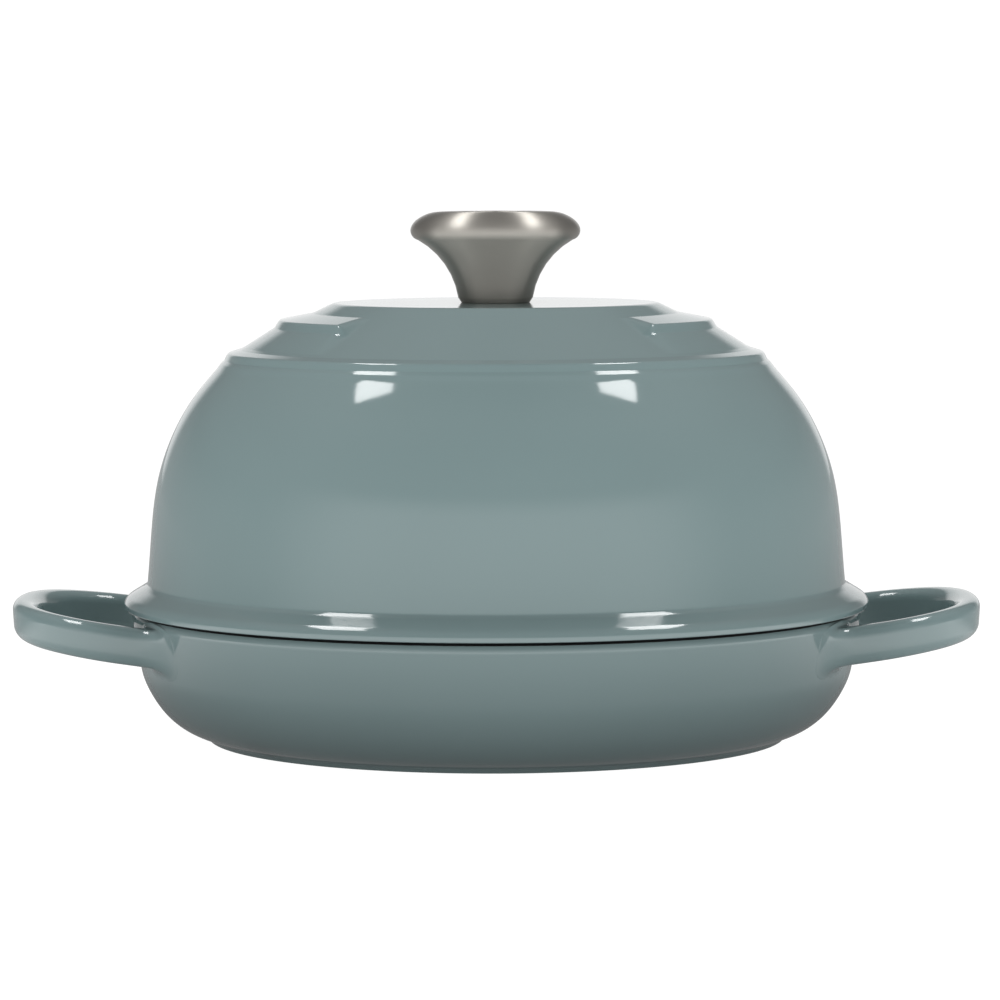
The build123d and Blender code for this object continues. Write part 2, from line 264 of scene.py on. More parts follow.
def satin_enamel(finish):
    """Satin black enamel of the cooking side, sprayed and fired: fine pebbles and a soft sheen."""
    material, tree = start_material("satin_black_enamel")
    place = add_node(tree, "ShaderNodeTexCoord").outputs["Object"]
    # Pebbled grain of the sprayed coat, about 1.2 mm, drawn coarse enough to show
    grain = add_node(
        tree, "ShaderNodeTexNoise", None, {"Vector": place, "Scale": noise_scale(1.25), "Detail": 2.0}
    )
    bump = add_node(
        tree, "ShaderNodeBump", None, {"Height": grain.outputs["Fac"], "Strength": 0.5, "Distance": 0.00008}
    )
    gloss = add_node(
        tree,
        "ShaderNodeMapRange",
        None,
        {"Value": grain.outputs["Fac"], "To Min": 0.34, "To Max": 0.5},
    )
    shader = add_node(
        tree,
        "ShaderNodeBsdfPrincipled",
        None,
        {
            "Base Color": linear_colour(finish.black_enamel),
            "Roughness": gloss.outputs["Result"],
            "IOR": 1.5,
            "Normal": bump.outputs["Normal"],
        },
    )
    add_node(tree, "ShaderNodeOutputMaterial", None, {"Surface": shader.outputs["BSDF"]})
    return material


def turned_steel(finish):
    """Stainless steel, spun and brushed on a lathe: fine rings that draw highlights out up and down."""
    material, tree = start_material("turned_stainless_steel")
    place = add_node(tree, "ShaderNodeTexCoord").outputs["Object"]
    # Turning marks are rings round Z, so the pattern reads the distance from the axis and the height
    parts = add_node(tree, "ShaderNodeSeparateXYZ", None, {"Vector": place})
    flat = add_node(
        tree, "ShaderNodeCombineXYZ", None, {"X": parts.outputs["X"], "Y": parts.outputs["Y"]}
    )
    radius = add_node(tree, "ShaderNodeVectorMath", {"operation": "LENGTH"}, {0: flat.outputs["Vector"]})
    rings = add_node(
        tree, "ShaderNodeCombineXYZ", None, {"X": radius.outputs["Value"], "Z": parts.outputs["Z"]}
    )
    # Marks about 0.2 mm apart, drawn coarser than the real ones so that they show
    marks = add_node(
        tree,
        "ShaderNodeTexNoise",
        None,
        {"Vector": rings.outputs["Vector"], "Scale": noise_scale(1 / 6), "Detail": 2.0},
    )
    bump = add_node(
        tree, "ShaderNodeBump", None, {"Height": marks.outputs["Fac"], "Strength": 0.06, "Distance": 0.00002}
    )
    gloss = add_node(
        tree,
        "ShaderNodeMapRange",
        None,
        {
            "Value": marks.outputs["Fac"],
            "To Min": finish.steel_roughness - 0.04,
            "To Max": finish.steel_roughness + 0.04,
        },
    )
    along = add_node(tree, "ShaderNodeTangent", {"direction_type": "RADIAL", "axis": "Z"})
    shader = add_node(
        tree,
        "ShaderNodeBsdfPrincipled",
        None,
        {
            "Base Color": linear_colour(finish.knob_steel),
            "Metallic": 1.0,
            "Roughness": gloss.outputs["Result"],
            "Anisotropic": 0.95,
            "Anisotropic Rotation": 0.25,
            "Normal": bump.outputs["Normal"],
            "Tangent": along.outputs["Tangent"],
        },
    )
    add_node(tree, "ShaderNodeOutputMaterial", None, {"Surface": shader.outputs["BSDF"]})
    return material


def plain_steel(finish):
    """Cold-headed and stamped stainless steel of screw and washers: grey, with a fine uneven gloss."""
    material, tree = start_material("plain_stainless_steel")
    place = add_node(tree, "ShaderNodeTexCoord").outputs["Object"]
    # Tool marks about 0.5 mm across
    marks = add_node(
        tree, "ShaderNodeTexNoise", None, {"Vector": place, "Scale": noise_scale(0.5), "Detail": 3.0}
    )
    gloss = add_node(
        tree, "ShaderNodeMapRange", None, {"Value": marks.outputs["Fac"], "To Min": 0.28, "To Max": 0.42}
    )
    bump = add_node(
        tree, "ShaderNodeBump", None, {"Height": marks.outputs["Fac"], "Strength": 0.2, "Distance": 0.00002}
    )
    shader = add_node(
        tree,
        "ShaderNodeBsdfPrincipled",
        None,
        {
            "Base Color": linear_colour(finish.screw_steel),
            "Metallic": 1.0,
            "Roughness": gloss.outputs["Result"],
            "Normal": bump.outputs["Normal"],
        },
    )
    add_node(tree, "ShaderNodeOutputMaterial", None, {"Surface": shader.outputs["BSDF"]})
    return material


def draw_line(bm, pen, target):
    """Draws a straight run from the pen's vertex, with support vertices beside its ends if it is long."""
    start = pen.co.copy()
    run = Vector(target) - start
    if run.length < MERGE_GAP:
        return pen
    stops = [run.length]
    if run.length > LONG_RUN:
        stops = [SUPPORT_GAP, run.length - SUPPORT_GAP, run.length]
    for stop in stops:
        pen = bmesh.ops.extrude_vert_indiv(bm, verts=[pen])["verts"][0]
        pen.co = start + run * (stop / run.length)
    return pen


def draw_outline(bm, corners):
    """Draws an outline in the XZ plane from corners of radius, height and rounding."""
    places = [Vector((corner[0], 0, corner[1])) for corner in corners]
    pen = bm.verts.new(places[0])
    for place, following, corner in zip(places[1:], places[2:], corners[1:]):
        rounding = corner[2] if len(corner) > 2 else 0
        inward = (place - pen.co).normalized()
        outward = (following - place).normalized()
        turn = math.atan2(inward.z * outward.x - inward.x * outward.z, inward.dot(outward))
        if rounding == 0 or abs(turn) < STRAIGHT_TURN:
            pen = draw_line(bm, pen, place)
            continue
        pen = draw_line(bm, pen, place - inward * rounding * math.tan(abs(turn) / 2))
        side = Vector((0, math.copysign(1, turn), 0)).cross(inward)
        steps = max(3, math.ceil(math.degrees(abs(turn)) / ARC_STEP_DEGREES))
        arc = bmesh.ops.spin(
            bm,
            geom=[pen],
            cent=pen.co + side * rounding,
            axis=(0, 1, 0),
            angle=turn,
            steps=steps,
        )
        pen = [item for item in arc["geom_last"] if isinstance(item, bmesh.types.BMVert)][0]
    draw_line(bm, pen, places[-1])


def with_parts(faces):
    """The faces with all their edges and vertices."""
    return list({part for face in faces for part in (face, *face.edges, *face.verts)})


def turn_outline(bm, corners):
    """Spins an outline a quarter round Z, mirrors it to a full closed shell and returns its faces."""
    kept = set(bm.verts)
    shelled = set(bm.faces)
    draw_outline(bm, corners)
    verts = [vert for vert in bm.verts if vert not in kept]
    edges = {edge for vert in verts for edge in vert.link_edges}
    bmesh.ops.spin(
        bm,
        geom=verts + list(edges),
        cent=(0, 0, 0),
        axis=(0, 0, 1),
        angle=math.pi / 2,
        steps=TURN_STEPS // 4,
    )
    for axis in ("X", "Y"):
        fresh = [face for face in bm.faces if face not in shelled]
        bmesh.ops.mirror(
            bm, geom=with_parts(fresh), matrix=Matrix.Identity(4), merge_dist=MERGE_GAP, axis=axis
        )
    fresh = [vert for vert in bm.verts if vert not in kept]
    bmesh.ops.remove_doubles(bm, verts=fresh, dist=MERGE_GAP)
    faces = [face for face in bm.faces if face not in shelled]
    bmesh.ops.recalc_face_normals(bm, faces=faces)
    return faces


def smooth_run(points, start_lean, end_lean, count):
    """Points along a curve of even curvature through the given ones, by Bezier spans."""
    knots = np.array(points, dtype=float)
    chords = np.linalg.norm(np.diff(knots, axis=0), axis=1)
    weights = np.eye(len(knots))
    slopes = np.zeros_like(knots)
    slopes[0] = np.array(start_lean) / np.linalg.norm(start_lean)
    slopes[-1] = np.array(end_lean) / np.linalg.norm(end_lean)
    for i in range(1, len(knots) - 1):
        before, after = chords[i - 1], chords[i]
        weights[i, i - 1 : i + 2] = after, 2 * (before + after), before
        slopes[i] = 3 * (
            after * (knots[i] - knots[i - 1]) / before + before * (knots[i + 1] - knots[i]) / after
        )
    slopes = np.linalg.solve(weights, slopes)
    run = []
    for i, chord in enumerate(chords):
        span = geometry.interpolate_bezier(
            Vector(knots[i]),
            Vector(knots[i] + slopes[i] * chord / 3),
            Vector(knots[i + 1] - slopes[i + 1] * chord / 3),
            Vector(knots[i + 1]),
            count,
        )
        run += [tuple(point) for point in span[:-1]]
    return run + [tuple(knots[-1])]


def inset_run(run, distance):
    """A run of points moved inwards, across its own direction, by a distance."""
    line = np.array(run)
    lean = np.gradient(line, axis=0)
    lean /= np.linalg.norm(lean, axis=1)[:, None]
    return [tuple(point) for point in line + np.stack([lean[:, 1], -lean[:, 0]], axis=1) * distance]


def millimetres(corners):
    """Corners given in millimetres, in metres."""
    return [tuple(value / 1000 for value in corner) for corner in corners]


def arc_corner(start, middle, end):
    """The corner and rounding that draw the arc from start through middle to end."""
    (ax, az), (bx, bz), (cx, cz) = start, middle, end
    scale = 2 * (ax * (bz - cz) + bx * (cz - az) + cx * (az - bz))
    squares = [x * x + z * z for x, z in (start, middle, end)]
    centre = Vector(
        (
            (squares[0] * (bz - cz) + squares[1] * (cz - az) + squares[2] * (az - bz)) / scale,
            (squares[0] * (cx - bx) + squares[1] * (ax - cx) + squares[2] * (bx - ax)) / scale,
        )
    )
    chord = (Vector(start) + Vector(end)) / 2 - centre
    rounding = (Vector(start) - centre).length
    corner = centre + chord * (rounding / chord.length) ** 2
    return (corner.x, corner.y, rounding)


def finish_piece(bm, name, materials):
    """Makes the piece's object from its mesh, smooth but for its crisp edges."""
    for face in bm.faces:
        face.smooth = True
    for edge in bm.edges:
        edge.smooth = len(edge.link_faces) != 2 or edge.calc_face_angle(0) < CRISP_ANGLE
    mesh = bpy.data.meshes.new(name)
    bm.to_mesh(mesh)
    bm.free()
    for material in materials:
        mesh.materials.append(material)
    piece = bpy.data.objects.new(name, mesh)
    bpy.context.scene.collection.objects.link(piece)
    return piece


def enamel_sides(faces, is_outside):
    """Gives the glossy enamel to the outside faces and the satin black enamel to the others."""
    for face in faces:
        centre = face.calc_center_median()
        radius = math.hypot(centre.x, centre.y)
        outward = (face.normal.x * centre.x + face.normal.y * centre.y) / max(radius, 1e-9)
        face.material_index = 0 if is_outside(radius, centre.z, outward, face.normal.z) else 1


def share_points(start, end, shares):
    """Points that lie at given shares of the way across and along from start to end."""
    return [
        (start[0] + (end[0] - start[0]) * across, start[1] + (end[1] - start[1]) * along)
        for across, along in shares
    ]


def pan_wall(sizes):
    """The pan's outside from its foot to its rim, as points of radius and height in millimetres."""
    rim = (sizes.rim_radius * 1000, sizes.rim_height * 1000)
    draft_width, draft_height = 3.65, 20.5
    bilge_width, bilge_start = 21.55, 1.6
    draft_foot = (rim[0] - draft_width, rim[1] - draft_height)
    bilge_foot = (draft_foot[0] - bilge_width, bilge_start)
    knots = share_points(bilge_foot, draft_foot, ((0.288, 0.105), (0.606, 0.323), (0.845, 0.629)))
    foot_lean = (1, math.tan(math.radians(21)))
    return smooth_run([bilge_foot, *knots, draft_foot], foot_lean, (draft_width, draft_height), 10), rim


def bar_section(sizes):
    """The rounded section of a handle's bar, as a loop of points and their outward normals."""
    half_width, half_height, rounding = sizes.bar_width / 2, sizes.bar_height / 2, sizes.bar_round
    section = bmesh.new()
    bmesh.ops.create_grid(section, x_segments=1, y_segments=1, size=1)
    bmesh.ops.scale(section, vec=(half_width, half_height, 1), verts=section.verts)
    bmesh.ops.bevel(
        section,
        geom=section.verts[:],
        offset=rounding,
        offset_type="OFFSET",
        affect="VERTICES",
        segments=8,
        profile=0.5,
        material=-1,
    )
    loop = [vert.co.copy() for vert in max(section.faces, key=lambda face: len(face.verts)).verts]
    section.free()
    normals = []
    for spoke in loop:
        core = Vector((
            max(-half_width + rounding, min(half_width - rounding, spoke.x)),
            max(-half_height + rounding, min(half_height - rounding, spoke.y)),
        ))
        normals.append((spoke.to_2d() - core).normalized())
    return loop, normals


def fillet_spread(normal_part, ahead, behind):
    """How far a fillet spreads one way or the other, from the part of a spoke's normal that way."""
    return math.copysign(math.sqrt(abs(normal_part)), normal_part) * (ahead if normal_part > 0 else behind)


def handle_rings(sizes):
    """Rings of points along half a loop handle, from its tip to inside the wall."""
    loop, normals = bar_section(sizes)
    tilt = sizes.handle_tilt
    # The middle of the bar at the tip lies just under the rim's height
    tip_height = sizes.rim_height - 0.0028
    # The section stands a little past upright, so its top leans out by this share of its height
    outward_lean = 0.06

    def in_space(reach, side, lift):
        """A point by its reach and side on the tilted handle plane and its height over the plane."""
        return Vector((
            reach * math.cos(tilt) + lift * outward_lean,
            side,
            tip_height - (sizes.handle_reach - reach) * math.sin(tilt) + lift,
        ))

    # Outer and inner outline of the bow, each from the tip over the elbow to the straight leg. The
    # elbow lies at these shares of the bow's depth and of its half span
    bow_depth = 0.0396
    elbow_reach, elbow_side = 0.738, 0.740
    leg_reach = sizes.handle_reach - bow_depth
    bows = []
    for inset in (0, sizes.bar_width):
        tip = (sizes.handle_reach - inset, 0)
        leg = (leg_reach, sizes.handle_half_span - inset)
        elbow = (leg[0] + (tip[0] - leg[0]) * elbow_reach, leg[1] * elbow_side)
        bows.append(smooth_run([tip, elbow, leg], (0, 1), (-1, 0), 18))
    rings = []
    for outer, inner in zip(*bows):
        middle = (Vector(outer) + Vector(inner)) / 2
        across = (Vector(outer) - Vector(inner)) / sizes.bar_width
        rings.append([in_space(*(middle + across * spoke.x), spoke.y) for spoke in loop])

    # Wall of the pan, for the soft fillet where each leg runs into it
    wall, rim = pan_wall(sizes)
    wall_heights = [point[1] / 1000 for point in wall] + [rim[1] / 1000]
    wall_radii = [point[0] / 1000 for point in wall] + [rim[0] / 1000]

    def on_wall(angle, height, depth=0.0):
        """A point of the wall, or a depth behind it."""
        radius = np.interp(height, wall_heights, wall_radii) - depth
        return Vector((radius * math.cos(angle), radius * math.sin(angle), height))

    # Spread of the fillet along the wall on the outer and inner side, and over and under the bar
    outer_spread, inner_spread = 0.0104, 0.0088
    upper_spread, lower_spread = 0.0018, 0.0035
    # Its edge laps a little further and dives under the wall's skin, and its core ends inside the wall
    edge_lap, edge_depth, core_depth = 0.0006, 0.00015, 0.0026
    search_depth = 0.03
    skirts = []
    for spoke, normal in zip(loop, normals):
        side = sizes.handle_half_span - sizes.bar_width / 2 + spoke.x
        # The reach at which this line of the leg meets the wall, by halving
        low, high = leg_reach - search_depth, leg_reach
        for _ in range(40):
            reach = (low + high) / 2
            point = in_space(reach, side, spoke.y)
            if math.hypot(point.x, point.y) > np.interp(point.z, wall_heights, wall_radii):
                high = reach
            else:
                low = reach
        foot = in_space(reach, side, spoke.y)
        angle = math.atan2(foot.y, foot.x)
        foot_radius = foot.to_2d().length
        spread_side = fillet_spread(normal.x, outer_spread, inner_spread)
        spread_up = fillet_spread(normal.y, upper_spread, lower_spread)
        start = in_space(reach + math.hypot(spread_side, spread_up), side, spoke.y)
        end = on_wall(angle + spread_side / foot_radius, foot.z + spread_up)
        curve = geometry.interpolate_bezier(
            start, start + (foot - start) * (2 / 3), end + (foot - end) * (2 / 3), end, 14
        )
        lap_up = (end - foot).normalized().z * edge_lap
        lap_angle = angle + (spread_side + math.copysign(edge_lap, spread_side)) / foot_radius
        edge_end = on_wall(lap_angle, end.z + lap_up, edge_depth)
        skirts.append([*curve, edge_end, on_wall(angle, foot.z, core_depth)])
    return rings + [list(ring) for ring in zip(*skirts)]


def add_handles(bm, sizes):
    """Adds both loop handles, extruded ring by ring and mirrored."""
    rings = handle_rings(sizes)
    standing = set(bm.faces)
    order = bm.verts.layers.int.new("spoke")
    loop = [bm.verts.new(place) for place in rings[0]]
    for index, vert in enumerate(loop):
        vert[order] = index
    edges = [bm.edges.new(pair) for pair in zip(loop, loop[1:] + loop[:1])]
    for ring in rings[1:]:
        grown = bmesh.ops.extrude_edge_only(bm, edges=edges)["geom"]
        edges = [item for item in grown if isinstance(item, bmesh.types.BMEdge)]
        for vert in [item for item in grown if isinstance(item, bmesh.types.BMVert)]:
            vert.co = ring[vert[order]]
    bmesh.ops.contextual_create(bm, geom=edges)
    # The two halves of a handle are merged at its tip, and the second handle stays apart
    for axis, merge in (("Y", MERGE_GAP), ("X", -1)):
        fresh = [face for face in bm.faces if face not in standing]
        bmesh.ops.mirror(
            bm, geom=with_parts(fresh), matrix=Matrix.Identity(4), merge_dist=merge, axis=axis
        )
    bm.verts.layers.int.remove(bm.verts.layers.int["spoke"])
    faces = [face for face in bm.faces if face not in standing]
    bmesh.ops.recalc_face_normals(bm, faces=faces)


class CLOCHE_OT_base_pan(bpy.types.Operator):
    """Makes the pan with its ribs and both loop handles"""

    bl_idname = "cloche.base_pan"
    bl_label = "Base pan"

    def execute(self, context):
        sizes, finish = context.scene.cloche_sizes, context.scene.cloche_finish
        bm = bmesh.new()
        add_handles(bm, sizes)
        pan_faces = turn_outline(bm, millimetres(self.outline(sizes)))
        # Glossy where the wall looks out or down, and on the rim only where it looks straight out;
        # the cavity and its ribs are black
        rim_start, cavity_radius, cavity_floor = 0.0435, 0.0975, 0.004
        enamel_sides(pan_faces, lambda radius, height, outward, upward: (
            (radius > cavity_radius or height < cavity_floor)
            and (height < rim_start and (outward > 0.3 or upward < -0.5) or outward > 0.75)
        ))
        piece = finish_piece(bm, "base_pan_shell", [glossy_enamel(finish), satin_enamel(finish)])
        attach(piece, "base")
        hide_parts("base_pan")
        return {"FINISHED"}

    def outline(self, sizes):
        """The pan's outline in millimetres, from the foot's recess over the rim to the ribbed floor."""
        wall, rim = pan_wall(sizes)
        recess_radius, recess_height, foot_radius = 90, 1.2, 98
        rim_width, rim_round, inner_rim_round = 5.2, 3.2, 1.7
        floor_height, floor_radius, floor_round = 6.2, 112.38, 24
        rib_height, rib_half_foot, rib_half_crest = 0.9, 2.0, 0.8
        ribs = []
        for radius in (84, 64, 44, 24):
            ribs += [
                (radius + rib_half_foot, floor_height, 1.0),
                (radius + rib_half_crest, floor_height + rib_height, 0.9),
                (radius - rib_half_crest, floor_height + rib_height, 0.9),
                (radius - rib_half_foot, floor_height, 1.0),
            ]
        return [
            (0, recess_height),
            (recess_radius, recess_height, 0.4),
            (recess_radius, 0, 0.4),
            (foot_radius, 0, 0.6),
            *wall,
            (rim[0], rim[1], rim_round),
            (rim[0] - rim_width, rim[1], inner_rim_round),
            (floor_radius, floor_height, floor_round),
            *ribs,
            (0, floor_height),
        ]


class CLOCHE_OT_dome_lid(bpy.types.Operator):
    """Makes the domed lid with its stepped ring, flange and lip"""

    bl_idname = "cloche.dome_lid"
    bl_label = "Dome lid"

    def execute(self, context):
        sizes, finish = context.scene.cloche_sizes, context.scene.cloche_finish
        bm = bmesh.new()
        faces = turn_outline(bm, millimetres(self.outline(sizes)))
        self.sink_ring(bm, sizes)
        bm.normal_update()
        # Glossy over the seat and outside the crown's hole, wherever a face looks up or out
        seat_height, hole_radius = sizes.rim_height + 0.0002, 0.0035
        enamel_sides(faces, lambda radius, height, outward, upward: (
            height > seat_height and radius > hole_radius and (upward > 0.02 or outward > 0.5)
        ))
        piece = finish_piece(bm, "dome_lid_shell", [glossy_enamel(finish), satin_enamel(finish)])
        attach(piece, "lid")
        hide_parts("dome_lid")
        return {"FINISHED"}

    def outline(self, sizes):
        """The lid's outline in millimetres, from the crown's hole over the outside and back inside."""
        top = sizes.plateau_height * 1000
        edge = sizes.plateau_radius * 1000
        seat = sizes.rim_height * 1000
        wall = sizes.lid_wall * 1000
        hole_radius, crown_wall = 3.4, wall + 0.4

        # Raised ring on the cone, which falls from a ledge over a step back to the cone
        ring_start = (edge + RING_START, top - RING_START * CONE_SLOPE)
        ring_end = (edge + RING_END, top - RING_END * CONE_SLOPE)
        ring_ledge = (ring_start[0] + 11.3, ring_start[1] - 2.2)
        ring_step = (ring_ledge[0] + 1.7, ring_ledge[1] - 2.7)

        # Shoulder under the cone: a ledge, a step and a small bead over the dome
        shoulder = (edge + CONE_WIDTH, top - CONE_DROP)
        shoulder_ledge = (shoulder[0] + 4.1, shoulder[1] - 1.2)
        shoulder_step = (shoulder_ledge[0] + 1.1, shoulder_ledge[1] - 2.4)
        bead = (shoulder_step[0] + 1.2, shoulder_step[1] - 1.1)

        # Dome, from under the bead down to the flange, where it leans 5 degrees from upright
        dome_top = (bead[0] + 1.3, bead[1] - 1.8)
        dome_foot = (sizes.rim_radius * 1000 - 6.25, seat + 12)
        shares = ((0.394, 0.170), (0.667, 0.345), (0.857, 0.549), (0.953, 0.796))
        knots = share_points(dome_top, dome_foot, shares)
        lean = math.tan(math.radians(5))
        dome = smooth_run([dome_top, *knots, dome_foot], (2.2, -2.5), (lean, -1), 12)
        inside = inset_run(dome, wall)[::-2]

        # Flange on the pan's rim, and the lip that hangs inside the rim
        flange_radius, lip_radius, lip_depth = 126.5, 118.6, 3.6
        lip_bore = inside[0][0] + lean * 15.5
        return [
            (hole_radius, top),
            (edge, top, 4.5),
            (*ring_start, 3.0),
            (*ring_ledge, 1.4),
            (*ring_step, 1.6),
            (*ring_end, 3.0),
            (*shoulder, 2.0),
            (*shoulder_ledge, 1.5),
            (*shoulder_step, 0.6),
            (*bead, 0.8),
            *dome,
            (dome_foot[0] + 0.33, seat + 8.2, 1.0),
            (flange_radius - 6.8, seat + 7.1, 6.0),
            (flange_radius - 1.0, seat + 3.6, 5.0),
            (flange_radius, seat + 1.9, 1.2),
            (flange_radius, seat, 0.5),
            (lip_radius, seat, 0.4),
            (lip_radius, seat - lip_depth, 0.7),
            (lip_bore, seat - lip_depth, 0.7),
            *inside,
            (edge, top - crown_wall, 10),
            (hole_radius, top - crown_wall),
            (hole_radius, top),
        ]

    def sink_ring(self, bm, sizes):
        """Lets the raised ring sink into the smooth cone of the front panel."""
        # Only the stretch from past the top's rounded edge to the cone's end sinks
        first, last = sizes.plateau_radius + 0.002, sizes.plateau_radius + 0.0312
        # What lies deeper than this under the cone is the lid's inside
        skin = 0.002
        for vert in bm.verts:
            radius = math.hypot(vert.co.x, vert.co.y)
            cone = sizes.plateau_height - (radius - sizes.plateau_radius) * CONE_SLOPE
            if not first < radius < last or vert.co.z < cone - skin:
                continue
            angle = abs(math.atan2(vert.co.x, -vert.co.y))
            share = min(1, max(0, (angle - sizes.panel_half_angle) / sizes.ring_fade_angle))
            vert.co.z = cone + (vert.co.z - cone) * share * share * (3 - 2 * share)


class CLOCHE_OT_knob(bpy.types.Operator):
    """Makes the knob's flared body and its low domed cap"""

    bl_idname = "cloche.knob"
    bl_label = "Knob"

    def execute(self, context):
        sizes, finish = context.scene.cloche_sizes, context.scene.cloche_finish
        steel = turned_steel(finish)
        floor = sizes.plateau_height * 1000
        outlines = (
            ("knob_stem", "knob_body", self.body_outline(floor)),
            ("knob_button", "knob_cap", self.cap_outline(sizes, floor)),
        )
        for name, node, outline in outlines:
            bm = bmesh.new()
            turn_outline(bm, millimetres(outline))
            piece = finish_piece(bm, name, [steel])
            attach(piece, "lid")
            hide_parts(node)
        return {"FINISHED"}

    def body_outline(self, floor):
        """The hollow flared stem, which stands on the lid and carries the cap on a low spigot."""
        joint = floor + KNOB_JOINT
        insert_bore, base_radius, base_thickness = 5.56, 11.6, 3.0
        foot = (12.7, floor + 1.7)
        waist = (16.7, floor + 12.2)
        brim = (KNOB_BRIM, joint)
        inner = [(point[0] - KNOB_WALL, point[1]) for point in (foot, waist, brim)]
        spigot_radius, spigot_bore, spigot_height, spigot_root = 24.5, 23.1, 1.5, 1.2
        return [
            (insert_bore, floor),
            (base_radius, floor, 0.4),
            foot,
            arc_corner(foot, waist, brim),
            brim,
            (spigot_radius, joint),
            (spigot_radius, joint + spigot_height, 0.2),
            (spigot_bore, joint + spigot_height, 0.2),
            (spigot_bore, joint - spigot_root),
            arc_corner(*inner),
            (inner[0][0] + 0.2, floor + base_thickness),
            (insert_bore, floor + base_thickness),
            (insert_bore, floor),
        ]

    def cap_outline(self, sizes, floor):
        """The low domed button, flat in the middle and rounded over to its widest ring and the joint."""
        joint = floor + KNOB_JOINT
        top = floor + sizes.knob_height * 1000
        widest = sizes.knob_radius * 1000
        flat_radius, hollow_radius = 18.5, 24.56
        knots = [(flat_radius, top), (24.9, top - 1.55), (widest, floor + 24.4)]
        brow = smooth_run(knots, (1, 0), (0, -1), 12)
        return [
            (0, top),
            *brow,
            (widest, joint + 0.62, 3.298),
            (KNOB_BRIM, joint),
            (hollow_radius, joint),
            (hollow_radius, top - KNOB_WALL, 4),
            (0, top - KNOB_WALL),
        ]


class CLOCHE_OT_fasteners(bpy.types.Operator):
    """Gives the insert, screw and washers their steel"""

    bl_idname = "cloche.fasteners"
    bl_label = "Fasteners"

    def execute(self, context):
        steel = plain_steel(context.scene.cloche_finish)
        for name in ("knob_insert", "knob_screw", "flat_washer", "lock_washer"):
            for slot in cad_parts[name].material_slots:
                slot.material = steel
        return {"FINISHED"}


